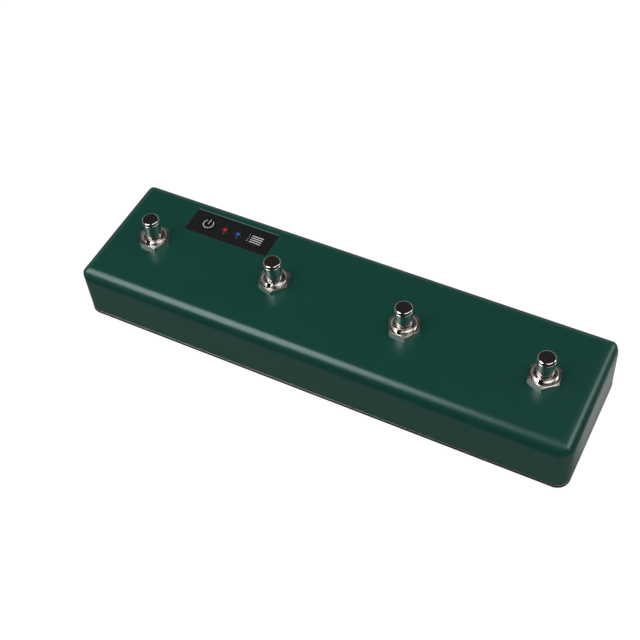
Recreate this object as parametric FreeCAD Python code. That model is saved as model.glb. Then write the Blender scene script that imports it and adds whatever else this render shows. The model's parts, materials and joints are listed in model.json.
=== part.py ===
import FreeCAD, Part
import math
import os

# A wireless foot switch: a long metal casing with four momentary foot switches in its top panel,
# and a recessed control pocket with two keys and two lamps.
# Lengths are in millimetres. X runs along the casing, Y towards its rear and Z up.
# The origin is on the floor, under the middle of the casing.

# Flat steps in which small round forms are built, so that they stay light
fine_sides = 28
medium_sides = 16
coarse_sides = 8
corner_steps = 3

# How far a cutting shape runs past the face that it cuts
overcut = 1.0

# Casing cover
body_length = 250.0
body_depth = 67.0
cover_height = 27.0
wall = 2.2
panel_thickness = 2.2
top_edge_radius = 6.0
corner_radius = 6.2
rim_chamfer = 0.2
rib_width = 1.2
rib_height = 1.6
pilot_spare = 1.0

# Base plate, its screws and the feet
base_thickness = 1.8
base_boss_radius = 3.5
base_boss_inset = 4.2
base_boss_web = 1.6
base_screw_radius = 1.5
base_screw_head_radius = 2.8
base_screw_length = 8.0
screw_clearance = 0.05
screw_hole_clearance = 0.2
foot_height = 1.2
foot_radius = 6.0
foot_taper = 0.4
foot_end_margin = 20.5
foot_side_margin = 11.5

# Foot switches, numbered from the left
switch_count = 4
switch_pitch = 67.2
bushing_radius = 6.0
bushing_rise = 3.2
bushing_chamfer = 0.5
bushing_mouth_radius = 4.8
bushing_mouth_depth = 0.6
keyway_width = 1.9
keyway_depth = 1.4
panel_hole_clearance = 0.15
nut_across_flats = 14.0
nut_thickness = 2.0
nut_crown_radius = 6.65
nut_crown_drop = 0.35
nut_clearance = 0.05
nut_turns = (0.0, 43.5, 55.6, 39.5)
washer_radius = 8.0
washer_thickness = 0.8
flange_thickness = 1.2
housing_width = 16.5
housing_height = 11.8
housing_corner_radius = 1.0
housing_bore_radius = 6.2
contact_base_thickness = 2.0
bay_clearance = 0.3

# Plunger, spring and contacts
plunger_rise = 14.2
plunger_head_radius = 4.25
plunger_head_height = 1.3
plunger_bevel = 0.65
plunger_shaft_radius = 4.05
plunger_clearance = 0.06
plunger_travel = 2.5
collar_radius = 5.8
collar_thickness = 1.5
stem_radius = 2.0
peg_radius = 1.0
peg_clearance = 0.05
stop_gap = 0.1
bridge_radius = 4.4
bridge_thickness = 0.5
spring_inner_radius = 4.9
spring_thickness = 0.8
contact_offset = 1.9
contact_head_radius = 1.1
contact_head_height = 0.4
contact_pin_width = 1.1
lug_length = 2.4
lug_thickness = 0.6
lug_drop = 3.5

# Control pocket, overlay, keys and lamps
pocket_length = 45.9
pocket_width = 14.5
pocket_depth = 0.8
pocket_corner_radius = 1.0
pocket_rear_margin = 6.95
pocket_shift = 1.2
label_thickness = 0.3
label_clearance = 0.1
power_key_radius = 3.7
power_key_place = -13.3
mode_key_length = 9.4
mode_key_width = 7.2
mode_key_corner_radius = 1.2
mode_key_place = 13.5
key_clearance = 0.15
key_proud = 0.5
key_chamfer = 0.25
key_flange_overlap = 0.8
key_flange_thickness = 1.0
key_travel = 0.5
red_lamp_place = -3.7
blue_lamp_place = 3.6
lamp_dome_radius = 2.4
lamp_dome_height = 0.35
lamp_pipe_radius = 1.5
lamp_gap = 0.3

# Circuit board and what stands on it
board_thickness = 1.6
board_side_gap = 2.3
board_rear_gap = 1.1
board_front_margin = 2.0
board_corner_radius = 1.5
board_boss_radius = 2.5
board_boss_inset = 3.0
board_screw_radius = 1.25
board_screw_head_radius = 2.25
board_screw_head_height = 1.6
board_screw_length = 6.0
tact_size = 6.0
tact_height = 3.5
tact_stem_radius = 1.75
tact_stem_rise = 1.5
tact_stem_depth = 1.1
tact_clearance = 0.1
tact_corner_radius = 0.5
led_length = 2.0
led_width = 1.25
led_height = 1.2
radio_length = 18.0
radio_width = 13.0
radio_thickness = 0.8
shield_margin = 1.0
shield_front_margin = 4.5
shield_height = 1.8
radio_gap = 1.0
controller_width = 7.0
charger_chip_width = 4.0
chip_height = 1.0
coil_width = 5.0
coil_height = 2.2
chip_spacing = 9.5
chip_row_y = 2.0

# Charging socket
port_length = 7.4
port_width = 8.94
port_height = 3.2
port_wall = 0.3
port_inset = 0.3
port_back_wall = 1.2
tongue_length = 5.0
tongue_width = 6.6
tongue_thickness = 0.7
port_slot_clearance = 0.3

# Battery and inner leads
battery_length = 40.0
battery_width = 30.0
battery_height = 7.0
battery_edge_radius = 2.5
pad_thickness = 1.0
pad_margin = 3.0
lead_width = 3.2
lead_thickness = 1.6
lead_gap = 1.5
lead_turn_radius = 5.0
lead_rise_radius = 3.2
lead_drop = 1.9
lead_turn_steps = 3
plug_length = 4.6
plug_width = 3.8
plug_height = 5.5
socket_wall = 0.8
socket_height = 6.0
socket_clearance = 0.1
socket_row_inset = 8.8

# Levels, from the floor up
base_bottom = foot_height
base_top = base_bottom + base_thickness
case_top = base_top + cover_height
panel_under = case_top - panel_thickness
pocket_floor = case_top - pocket_depth
label_top = pocket_floor + label_thickness
key_top = label_top + key_proud
key_bottom = panel_under - stop_gap - key_flange_thickness
board_top = key_bottom - tact_height - tact_stem_rise
board_bottom = board_top - board_thickness
flange_top = panel_under - washer_thickness
flange_bottom = flange_top - flange_thickness
housing_bottom = flange_bottom - housing_height
contact_base_bottom = housing_bottom - contact_base_thickness
lug_bottom = contact_base_bottom - lug_drop
contact_top = housing_bottom + contact_head_height
bridge_bottom = contact_top + plunger_travel + stop_gap
bridge_top = bridge_bottom + bridge_thickness
collar_top = flange_bottom - stop_gap
collar_bottom = collar_top - collar_thickness
rim_top = case_top + bushing_rise
plunger_top = case_top + plunger_rise
lead_level = contact_base_bottom - lead_drop - lead_thickness / 2
battery_bottom = base_top + pad_thickness
plug_bottom = board_bottom - socket_height - socket_wall
port_level = board_bottom - port_height / 2

# Places in plan
half_length = body_length / 2
half_depth = body_depth / 2
inner_half_length = half_length - wall
inner_half_depth = half_depth - wall
inner_corner_radius = max(corner_radius - wall, 0.5)
inner_edge_slope = max(top_edge_radius - wall, 0.5)
switch_places = [(i - (switch_count - 1) / 2) * switch_pitch for i in range(switch_count)]
bay_middle = (switch_places[0] + switch_places[1]) / 2
bay_half = (switch_pitch - housing_width) / 2
pocket_x = bay_middle - pocket_shift
pocket_y = half_depth - pocket_rear_margin - pocket_width / 2
power_x = pocket_x + power_key_place
mode_x = pocket_x + mode_key_place
lamp_places = {"red_lamp_lens": pocket_x + red_lamp_place, "blue_lamp_lens": pocket_x + blue_lamp_place}
lane = battery_width / 2 + lead_gap + lead_width / 2
board_half_length = bay_half - board_side_gap
board_left = bay_middle - board_half_length
board_right = bay_middle + board_half_length
board_rear = inner_half_depth - board_rear_gap
socket_length = plug_length + 2 * (socket_wall + socket_clearance)
socket_width = plug_width + 2 * (socket_wall + socket_clearance)
board_front = -(lane + socket_length / 2 + board_front_margin)
socket_row = board_right - socket_row_inset
socket_row_left = board_left + socket_row_inset
battery_socket_y = -lane / 2


def point(x, y, z):
    return FreeCAD.Vector(x, y, z)


def block(x0, x1, y0, y1, z0, z1):
    return Part.makeBox(x1 - x0, y1 - y0, z1 - z0, point(x0, y0, z0))


def oblong(length, width, radius, steps):
    """The corners of a flat rectangle about the origin, each rounded in a few straight steps."""
    corners = []
    for quarter, (a, b) in enumerate(((1, 1), (-1, 1), (-1, -1), (1, -1))):
        for step in range(steps + 1):
            angle = math.pi / 2 * (quarter + step / steps)
            corners.append((a * (length / 2 - radius) + radius * math.cos(angle),
                            b * (width / 2 - radius) + radius * math.sin(angle)))
    return [corner for i, corner in enumerate(corners) if math.dist(corner, corners[i - 1]) > 1e-6]


def level_outline(x, y, z, length, width, radius, steps):
    return [point(x + a, y + b, z) for a, b in oblong(length, width, radius, steps)]


def ring(x, y, z, radius, sides):
    angles = [2 * math.pi * (side + 0.5) / sides for side in range(sides)]
    return [point(x + radius * math.cos(a), y + radius * math.sin(a), z) for a in angles]


def polygon_face(corners):
    return Part.Face(Part.makePolygon(corners + corners[:1]))


def skin(outlines):
    """A solid with flat faces through a row of outlines that have as many corners each."""
    faces = [polygon_face(outlines[0]), polygon_face(outlines[-1])]
    for low, high in zip(outlines, outlines[1:]):
        for i in range(len(low)):
            faces.append(polygon_face([low[i - 1], low[i], high[i], high[i - 1]]))
    solid = Part.makeSolid(Part.makeShell(faces))
    if solid.Volume < 0:
        solid.reverse()
    return solid.removeSplitter()


def lathe(x, y, profile, sides):
    """A round solid in flat sides about the upright through x, y, from (radius, level) pairs."""
    return skin([ring(x, y, level, radius, sides) for radius, level in profile])


def column(x, y, z0, z1, radius, sides):
    """An upright round bar in flat sides; its corners lie on the radius."""
    return lathe(x, y, [(radius, z0), (radius, z1)], sides)


def hole_radius(radius, sides):
    """The corner radius of a hole in flat sides that leaves a round of this radius free."""
    return radius / math.cos(math.pi / sides)


def hole(x, y, z0, z1, radius, sides):
    return column(x, y, z0, z1, hole_radius(radius, sides), sides)


def rounded_block(x, y, length, width, z0, z1, radius, steps=corner_steps):
    """An upright block about the place x, y; its corners are rounded in flat steps."""
    return skin([level_outline(x, y, z, length, width, radius, steps) for z in (z0, z1)])


def edges_at(shape, level):
    """The edges that lie wholly at one level."""
    return [edge for edge in shape.Edges if all(abs(corner.Z - level) < 1e-4 for corner in edge.Vertexes)]


def hexagon(x, y, across_flats, z0, z1, turn):
    corner = hole_radius(across_flats / 2, 6)
    angles = [math.radians(turn + 60 * side) for side in range(6)]
    return skin([[point(x + corner * math.cos(a), y + corner * math.sin(a), z) for a in angles]
                 for z in (z0, z1)])


def flat_oval(x, z, width, height, y0, y1):
    """A bar along Y whose section is a flat oval about the place x, z."""
    section = oblong(width, height, height / 2, 2 * corner_steps)
    return skin([[point(x + a, y, z + b) for a, b in section] for y in (y0, y1)])


def merged(shapes):
    body = shapes[0]
    for shape in shapes[1:]:
        body = body.fuse(shape)
    return body.removeSplitter()


def cut_all(body, tools):
    for tool in tools:
        body = body.cut(tool)
    return body


# Casing

def casing_slab(z0, z1):
    """A slab with the outline of the casing; its corners are true rounds."""
    slab = block(-half_length, half_length, -half_depth, half_depth, z0, z1)
    uprights = [edge for edge in slab.Edges if edge.BoundBox.ZLength > (z1 - z0) / 2]
    return slab.makeFillet(corner_radius, uprights)


def case_block():
    """The outside of the cover as a solid."""
    outer = casing_slab(base_top, case_top)
    outer = outer.makeFillet(top_edge_radius, edges_at(outer, case_top))
    return outer.makeChamfer(rim_chamfer, edges_at(outer, base_top))


def case_room():
    """The room inside the cover; its upper edge slopes, and keeps the wall thick there."""
    length = 2 * inner_half_length
    width = 2 * inner_half_depth
    slope = inner_edge_slope
    upper_radius = inner_corner_radius - min(slope, inner_corner_radius) / 2
    levels = [(base_top - overcut, 0, inner_corner_radius),
              (panel_under - slope, 0, inner_corner_radius), (panel_under, slope, upper_radius)]
    return skin([level_outline(0, 0, z, length - 2 * inset, width - 2 * inset, radius, corner_steps)
                 for z, inset, radius in levels])


def base_screw_places():
    side = inner_half_length - base_boss_inset
    rear = inner_half_depth - base_boss_inset
    return [(x, y) for x in (-side, 0, side) for y in (-rear, rear)]


def board_screw_places():
    left = board_left + board_boss_inset
    right = board_right - board_boss_inset
    rear = board_rear - board_boss_inset
    front = board_front + board_boss_inset
    return [(x, y) for x in (left, right) for y in (front, rear)]


def base_bosses():
    """Long bosses for the base screws, each tied to the nearest walls by webs."""
    bosses = []
    for x, y in base_screw_places():
        boss = column(x, y, base_top, case_top, base_boss_radius, coarse_sides)
        wall_y = math.copysign(half_depth, y)
        half_web = base_boss_web / 2
        boss = boss.fuse(block(x - half_web, x + half_web, min(y, wall_y), max(y, wall_y),
                               base_top, case_top))
        if x:
            wall_x = math.copysign(half_length, x)
            boss = boss.fuse(block(min(x, wall_x), max(x, wall_x), y - half_web, y + half_web,
                                   base_top, case_top))
        depth = base_screw_length - base_thickness + pilot_spare
        pilot = hole(x, y, base_top, base_top + depth, base_screw_radius + screw_clearance, coarse_sides)
        bosses.append((boss, pilot))
    return bosses


def board_bosses():
    bosses = []
    for x, y in board_screw_places():
        boss = column(x, y, board_top, case_top, board_boss_radius, coarse_sides)
        depth = board_screw_length - board_thickness + pilot_spare / 2
        pilot = hole(x, y, board_top, board_top + depth, board_screw_radius + screw_clearance, coarse_sides)
        bosses.append((boss, pilot))
    return bosses


def panel_ribs():
    """Low ribs under the panel that stiffen it between the switches."""
    bottom = panel_under - rib_height
    rib_y = housing_width / 2 + rib_width
    ribs = []
    for y in (-rib_y, rib_y):
        ribs.append(block(-half_length, half_length, y - rib_width / 2, y + rib_width / 2,
                          bottom, case_top))
    for x in [(a + b) / 2 for a, b in zip(switch_places[1:], switch_places[2:])]:
        ribs.append(block(x - rib_width / 2, x + rib_width / 2, -half_depth, half_depth,
                          bottom, case_top))
    return ribs


def switch_bays():
    """Square rooms under the panel for the flanges and lock washers of the switches."""
    half = housing_width / 2 + bay_clearance
    return [block(x - half, x + half, -half, half, flange_bottom - stop_gap, panel_under)
            for x in switch_places]


def mode_key_outline(growth, z):
    return level_outline(mode_x, pocket_y, z, mode_key_length + 2 * growth, mode_key_width + 2 * growth,
                         mode_key_corner_radius + growth, corner_steps)


def mode_key_block(growth, z0, z1):
    return skin([mode_key_outline(growth, z) for z in (z0, z1)])


def panel_openings():
    """What is cut from the panel for the switches, the keys and the lamps."""
    deep = panel_under - overcut
    high = case_top + overcut
    cuts = [hole(x, 0, deep, high, bushing_radius + panel_hole_clearance, medium_sides)
            for x in switch_places]
    cuts.append(rounded_block(pocket_x, pocket_y, pocket_length, pocket_width, pocket_floor, high,
                              pocket_corner_radius))
    cuts.append(hole(power_x, pocket_y, deep, high, power_key_radius + key_clearance, medium_sides))
    cuts.append(mode_key_block(key_clearance, deep, high))
    for x in lamp_places.values():
        cuts.append(hole(x, pocket_y, deep, high, lamp_pipe_radius + screw_clearance, coarse_sides))
    return cuts


def port_slot():
    return flat_oval(bay_middle, port_level, port_width + 2 * port_slot_clearance,
                     port_height + 2 * port_slot_clearance, inner_half_depth - wall, half_depth + wall)


def top_case():
    """The cover: a block less its room, which the bosses, webs and ribs keep out of."""
    bosses = base_bosses() + board_bosses()
    room = cut_all(case_room(), panel_ribs() + [boss for boss, pilot in bosses])
    cuts = [room] + switch_bays() + [pilot for boss, pilot in bosses] + panel_openings() + [port_slot()]
    return cut_all(case_block(), cuts).removeSplitter()


def base_plate():
    """A flat lid under the cover, flush with its sides."""
    plate = casing_slab(base_bottom, base_top)
    small = hole_radius(base_screw_radius + screw_hole_clearance, medium_sides)
    large = hole_radius(base_screw_head_radius + screw_clearance, medium_sides)
    for x, y in base_screw_places():
        plate = plate.cut(lathe(x, y, [(large, base_bottom), (small, base_bottom + large - small),
                                       (small, base_top)], medium_sides))
    return plate


def base_screw(x, y):
    head = base_screw_head_radius - base_screw_radius
    return lathe(x, y, [(base_screw_head_radius, base_bottom), (base_screw_radius, base_bottom + head),
                        (base_screw_radius, base_bottom + base_screw_length)], medium_sides)


def rubber_foot(x, y):
    return lathe(x, y, [(foot_radius - 2 * foot_taper, 0), (foot_radius - foot_taper, foot_taper),
                        (foot_radius, base_bottom)], fine_sides)


def foot_places():
    x = half_length - foot_end_margin
    y = half_depth - foot_side_margin
    return [(-x, -y), (-x, y), (x, -y), (x, y)]


# Foot switches

def nut(x, turn):
    """A hex nut whose upper corners are turned off to a low crown."""
    body = hexagon(x, 0, nut_across_flats, case_top, case_top + nut_thickness, turn)
    corner = hole_radius(nut_across_flats / 2, 6)
    slope = nut_crown_drop / (nut_across_flats / 2 - nut_crown_radius)
    drop = slope * (corner - nut_crown_radius)
    top = case_top + nut_thickness
    crown = lathe(x, 0, [(hole_radius(corner, fine_sides), case_top), (corner, top - drop),
                         (nut_crown_radius, top)], fine_sides)
    return body.common(crown).cut(hole(x, 0, case_top, top, bushing_radius + nut_clearance, medium_sides))


def bushing(x):
    """A threaded bushing on a square flange, with a keyway down its front."""
    sleeve = lathe(x, 0, [(bushing_radius, flange_bottom), (bushing_radius, rim_top - bushing_chamfer),
                          (bushing_radius - bushing_chamfer, rim_top)], fine_sides)
    flange = rounded_block(x, 0, housing_width, housing_width, flange_bottom, flange_top,
                           housing_corner_radius, 1)
    bore_radius = hole_radius(plunger_shaft_radius + plunger_clearance, fine_sides)
    bore = lathe(x, 0, [(bore_radius, flange_bottom), (bore_radius, rim_top - bushing_mouth_depth),
                        (bushing_mouth_radius, rim_top)], fine_sides)
    keyway = block(x - keyway_width / 2, x + keyway_width / 2, -bushing_radius - overcut,
                   keyway_depth - bushing_radius, flange_top, rim_top + overcut)
    return cut_all(merged([sleeve, flange]), [bore, keyway])


def lock_washer(x):
    ring_body = column(x, 0, flange_top, panel_under, washer_radius, medium_sides)
    return ring_body.cut(hole(x, 0, flange_top, panel_under, bushing_radius + nut_clearance, medium_sides))


def plunger(x):
    """A polished head on a shaft, with a collar that stops it and a stem that works the bridge."""
    neck = plunger_top - plunger_head_height
    step = plunger_head_radius - plunger_shaft_radius
    shaft = lathe(x, 0, [(plunger_shaft_radius, collar_bottom), (plunger_shaft_radius, neck),
                         (plunger_head_radius, neck + step),
                         (plunger_head_radius, plunger_top - plunger_bevel),
                         (plunger_head_radius - plunger_bevel, plunger_top)], fine_sides)
    collar = column(x, 0, collar_bottom, collar_top, collar_radius, coarse_sides)
    stem = column(x, 0, bridge_top, collar_bottom, stem_radius, coarse_sides)
    peg = column(x, 0, bridge_bottom, bridge_top, peg_radius, coarse_sides)
    return merged([shaft, collar, stem, peg])


def bridge(x):
    plate = column(x, 0, bridge_bottom, bridge_top, bridge_radius, medium_sides)
    return plate.cut(hole(x, 0, bridge_bottom, bridge_top, peg_radius + peg_clearance, coarse_sides))


def spring(x):
    """The room of the return spring, as a plain sleeve between the contact base and the collar."""
    low = housing_bottom + stop_gap
    high = collar_bottom - stop_gap
    sleeve = column(x, 0, low, high, spring_inner_radius + spring_thickness, medium_sides)
    return sleeve.cut(hole(x, 0, low, high, spring_inner_radius, medium_sides))


def housing(x):
    body = rounded_block(x, 0, housing_width, housing_width, housing_bottom, flange_bottom,
                         housing_corner_radius, 1)
    return body.cut(hole(x, 0, housing_bottom, flange_bottom, housing_bore_radius, medium_sides))


def contact_pin(x, y, gap):
    half = contact_pin_width / 2 + gap
    return block(x - half, x + half, y - half, y + half, contact_base_bottom, housing_bottom)


def contact_base(x):
    body = rounded_block(x, 0, housing_width, housing_width, contact_base_bottom, housing_bottom,
                         housing_corner_radius, 1)
    return cut_all(body, [contact_pin(x, y, screw_clearance) for y in (-contact_offset, contact_offset)])


def contact_lug(x, y):
    """A riveted contact head, its pin through the base and the flat lug that the lead is soldered to."""
    head = column(x, y, housing_bottom, contact_top, contact_head_radius, coarse_sides)
    blade = block(x - lug_length / 2, x + lug_length / 2, y - lug_thickness / 2, y + lug_thickness / 2,
                  lug_bottom, contact_base_bottom)
    return merged([head, contact_pin(x, y, 0), blade])


# Controls

def control_label():
    sheet = rounded_block(pocket_x, pocket_y, pocket_length - 2 * label_clearance,
                          pocket_width - 2 * label_clearance, pocket_floor, label_top,
                          pocket_corner_radius)
    cuts = [hole(power_x, pocket_y, pocket_floor, label_top, power_key_radius + key_clearance, fine_sides),
            mode_key_block(key_clearance, pocket_floor, label_top)]
    for x in lamp_places.values():
        cuts.append(hole(x, pocket_y, pocket_floor, label_top, lamp_dome_radius + screw_clearance,
                         medium_sides))
    return cut_all(sheet, cuts)


def power_button():
    flange = column(power_x, pocket_y, key_bottom, key_bottom + key_flange_thickness,
                    power_key_radius + key_flange_overlap, medium_sides)
    profile = [(power_key_radius, key_bottom), (power_key_radius, key_top - key_chamfer),
               (power_key_radius - key_chamfer, key_top)]
    return merged([flange, lathe(power_x, pocket_y, profile, fine_sides)])


def mode_button():
    levels = ((0, key_bottom), (0, key_top - key_chamfer), (-key_chamfer, key_top))
    cap = skin([mode_key_outline(growth, z) for growth, z in levels])
    flange = mode_key_block(key_flange_overlap, key_bottom, key_bottom + key_flange_thickness)
    return merged([flange, cap])


def tact_stem(x):
    return column(x, pocket_y, key_bottom - tact_stem_rise - tact_stem_depth, key_bottom,
                  tact_stem_radius, coarse_sides)


def tact_switch(x):
    top = board_top + tact_height
    body = rounded_block(x, pocket_y, tact_size, tact_size, board_top, top, tact_corner_radius, 1)
    well = top - tact_stem_depth - key_travel - stop_gap
    return body.cut(hole(x, pocket_y, well, top, tact_stem_radius + tact_clearance, coarse_sides))


def lamp_lens(x):
    """A low dome on a light pipe that ends just above its lamp."""
    pipe_end = board_top + led_height + lamp_gap
    dome_top = label_top + lamp_dome_height
    pipe = column(x, pocket_y, pipe_end, pocket_floor, lamp_pipe_radius, coarse_sides)
    dome = lathe(x, pocket_y, [(lamp_dome_radius, pocket_floor), (lamp_dome_radius, label_top),
                               (lamp_dome_radius - lamp_dome_height, dome_top)], medium_sides)
    return merged([pipe, dome])


def indicator_led(x):
    return block(x - led_length / 2, x + led_length / 2, pocket_y - led_width / 2, pocket_y + led_width / 2,
                 board_top, board_top + led_height)


# Circuit board

def main_board():
    centre_y = (board_front + board_rear) / 2
    board = rounded_block(bay_middle, centre_y, board_right - board_left, board_rear - board_front,
                          board_bottom, board_top, board_corner_radius, 1)
    return cut_all(board, [hole(x, y, board_bottom, board_top, board_screw_radius + screw_hole_clearance,
                                coarse_sides) for x, y in board_screw_places()])


def board_screw(x, y):
    head = column(x, y, board_bottom - board_screw_head_height, board_bottom, board_screw_head_radius,
                  coarse_sides)
    shank = column(x, y, board_bottom, board_bottom + board_screw_length, board_screw_radius, coarse_sides)
    return merged([head, shank])


def radio_place():
    x = board_left + board_boss_inset + board_boss_radius + radio_gap + radio_length / 2
    y = board_front + radio_gap + radio_width / 2
    return x, y


def radio_module():
    x, y = radio_place()
    return block(x - radio_length / 2, x + radio_length / 2, y - radio_width / 2, y + radio_width / 2,
                 board_top, board_top + radio_thickness)


def radio_shield():
    """The metal can over the radio; the strip left bare at the front is its antenna."""
    x, y = radio_place()
    low = board_top + radio_thickness
    return block(x - radio_length / 2 + shield_margin, x + radio_length / 2 - shield_margin,
                 y - radio_width / 2 + shield_front_margin, y + radio_width / 2 - shield_margin,
                 low, low + shield_height)


def board_chips():
    """Controller, charger chip and coil in a row across the middle of the board."""
    row = ((charger_chip_width, chip_height), (controller_width, chip_height), (coil_width, coil_height))
    chips = []
    for place, (width, height) in enumerate(row):
        x = bay_middle + (place - 1) * chip_spacing
        chips.append(block(x - width / 2, x + width / 2, chip_row_y - width / 2, chip_row_y + width / 2,
                           board_top, board_top + height))
    return chips


def usb_port():
    """A flat oval metal shell, closed behind, with a contact tongue inside."""
    mouth = half_depth - port_inset
    rear = mouth - port_length
    shell = flat_oval(bay_middle, port_level, port_width, port_height, rear, mouth)
    room = flat_oval(bay_middle, port_level, port_width - 2 * port_wall, port_height - 2 * port_wall,
                     rear + port_back_wall, mouth + port_wall)
    tongue = block(bay_middle - tongue_width / 2, bay_middle + tongue_width / 2, rear,
                   rear + port_back_wall + tongue_length,
                   port_level - tongue_thickness / 2, port_level + tongue_thickness / 2)
    return merged([shell.cut(room), tongue])


# Battery and leads

def battery():
    """A flat cell whose long edges are round."""
    section = oblong(battery_width, battery_height, battery_edge_radius, corner_steps)
    middle = battery_bottom + battery_height / 2
    return skin([[point(x, a, middle + b) for a, b in section]
                 for x in (-battery_length / 2, battery_length / 2)])


def battery_pad():
    return block(pad_margin - battery_length / 2, battery_length / 2 - pad_margin,
                 pad_margin - battery_width / 2, battery_width / 2 - pad_margin,
                 base_top, battery_bottom)


def flat_lead(route):
    """A twin lead along a route of square turns, each rounded to the radius that its kind takes."""
    across = point(0, 0, 1).cross(route[1] - route[0]).normalize()
    along = (route[1] - route[0]).normalize()
    sections = [lead_section(route[0], along, across)]
    for i in range(1, len(route) - 1):
        after = (route[i + 1] - route[i]).normalize()
        radius = lead_turn_radius
        if abs(after.z) > 0.5:
            radius = min(lead_rise_radius, abs(route[i + 1].z - route[i].z))
        centre = route[i] + (after - along) * radius
        axis = along.cross(after)
        start = route[i] - along * radius
        for step in range(lead_turn_steps + 1):
            turn = FreeCAD.Rotation(axis, 90 * step / lead_turn_steps)
            place = centre + turn.multVec(start - centre)
            sections.append(lead_section(place, turn.multVec(along), turn.multVec(across)))
        across = turn.multVec(across)
        along = after
    sections.append(lead_section(route[-1], along, across))
    return skin(sections)


def lead_section(place, along, across):
    """The corners of a lead's flat section, square to its run."""
    thick = along.cross(across)
    corners = ((-1, -1), (1, -1), (1, 1), (-1, 1))
    return [place + across * (a * lead_width / 2) + thick * (b * lead_thickness / 2) for a, b in corners]


def switch_leads():
    """The routes from the lugs of each switch to its socket under the board."""
    low = lead_level
    lug = lug_length / 2
    turn_in = housing_width / 2 - lead_width / 2
    routes = {}
    x = switch_places[0]
    routes["lead_1"] = [point(x - lug, 0, low), point(socket_row_left, 0, low),
                        point(socket_row_left, 0, plug_bottom)]
    x = switch_places[1]
    routes["lead_2"] = [point(x + lug, 0, low), point(socket_row, 0, low),
                        point(socket_row, 0, plug_bottom)]
    x = switch_places[2]
    routes["lead_3"] = [point(x + lug, 0, low), point(x - turn_in, 0, low), point(x - turn_in, lane, low),
                        point(socket_row, lane, low), point(socket_row, lane, plug_bottom)]
    x = switch_places[3]
    routes["lead_4"] = [point(x + lug, 0, low), point(x - turn_in, 0, low), point(x - turn_in, -lane, low),
                        point(socket_row, -lane, low), point(socket_row, -lane, plug_bottom)]
    return {name: flat_lead(route) for name, route in routes.items()}


def battery_lead():
    level = battery_bottom + battery_height / 2
    return flat_lead([point(-battery_length / 2, battery_socket_y, level),
                      point(socket_row, battery_socket_y, level),
                      point(socket_row, battery_socket_y, plug_bottom)])


def socket_places():
    return [(socket_row_left, 0), (socket_row, 0), (socket_row, lane), (socket_row, -lane),
            (socket_row, battery_socket_y)]


def lead_plug(x, y):
    return block(x - plug_width / 2, x + plug_width / 2, y - plug_length / 2, y + plug_length / 2,
                 plug_bottom, plug_bottom + plug_height)


def board_socket(x, y):
    """A shrouded header that hangs from the board; the plug goes into it from below."""
    shroud = block(x - socket_width / 2, x + socket_width / 2, y - socket_length / 2, y + socket_length / 2,
                   board_bottom - socket_height, board_bottom)
    gap = socket_clearance
    room = block(x - plug_width / 2 - gap, x + plug_width / 2 + gap, y - plug_length / 2 - gap,
                 y + plug_length / 2 + gap, board_bottom - socket_height, plug_bottom + plug_height + gap)
    return shroud.cut(room)


def group(solids):
    return Part.makeCompound(solids)


def nodes():
    """Every node of the assembly by name."""
    made = {
        "top_case": top_case(),
        "base_plate": base_plate(),
        "base_screws": group([base_screw(x, y) for x, y in base_screw_places()]),
        "rubber_feet": group([rubber_foot(x, y) for x, y in foot_places()]),
        "control_label": control_label(),
        "power_button": power_button(),
        "mode_button": mode_button(),
        "power_tact_stem": tact_stem(power_x),
        "mode_tact_stem": tact_stem(mode_x),
        "tact_switches": group([tact_switch(x) for x in (power_x, mode_x)]),
        "indicator_leds": group([indicator_led(x) for x in lamp_places.values()]),
        "main_board": main_board(),
        "board_screws": group([board_screw(x, y) for x, y in board_screw_places()]),
        "radio_module": radio_module(),
        "radio_shield": radio_shield(),
        "board_chips": group(board_chips()),
        "usb_port": usb_port(),
        "battery": battery(),
        "battery_pad": battery_pad(),
        "battery_lead": battery_lead(),
        "lead_plugs": group([lead_plug(x, y) for x, y in socket_places()]),
        "board_sockets": group([board_socket(x, y) for x, y in socket_places()]),
        "lock_washers": group([lock_washer(x) for x in switch_places]),
        "contact_lugs": group([contact_lug(x, y) for x in switch_places
                               for y in (-contact_offset, contact_offset)]),
    }
    for name, x in lamp_places.items():
        made[name] = lamp_lens(x)
    made.update(switch_leads())
    for number, (x, turn) in enumerate(zip(switch_places, nut_turns), start=1):
        made[f"nut_{number}"] = nut(x, turn)
        made[f"bushing_{number}"] = bushing(x)
        made[f"plunger_{number}"] = plunger(x)
        made[f"spring_{number}"] = spring(x)
        made[f"bridge_{number}"] = bridge(x)
        made[f"housing_{number}"] = housing(x)
        made[f"contact_base_{number}"] = contact_base(x)
    return made


os.makedirs("parts", exist_ok=True)
for name, shape in nodes().items():
    solids = shape.Solids
    assert shape.isValid() and all(solid.isValid() for solid in solids), name
    shape.exportStep(f"parts/{name}.step")
    print(f"{name}: {len(solids)} solid, {sum(solid.Volume for solid in solids):.1f} mm3")
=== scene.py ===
import json
import math
import bmesh
import bpy
from mathutils import Matrix, Vector

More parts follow.
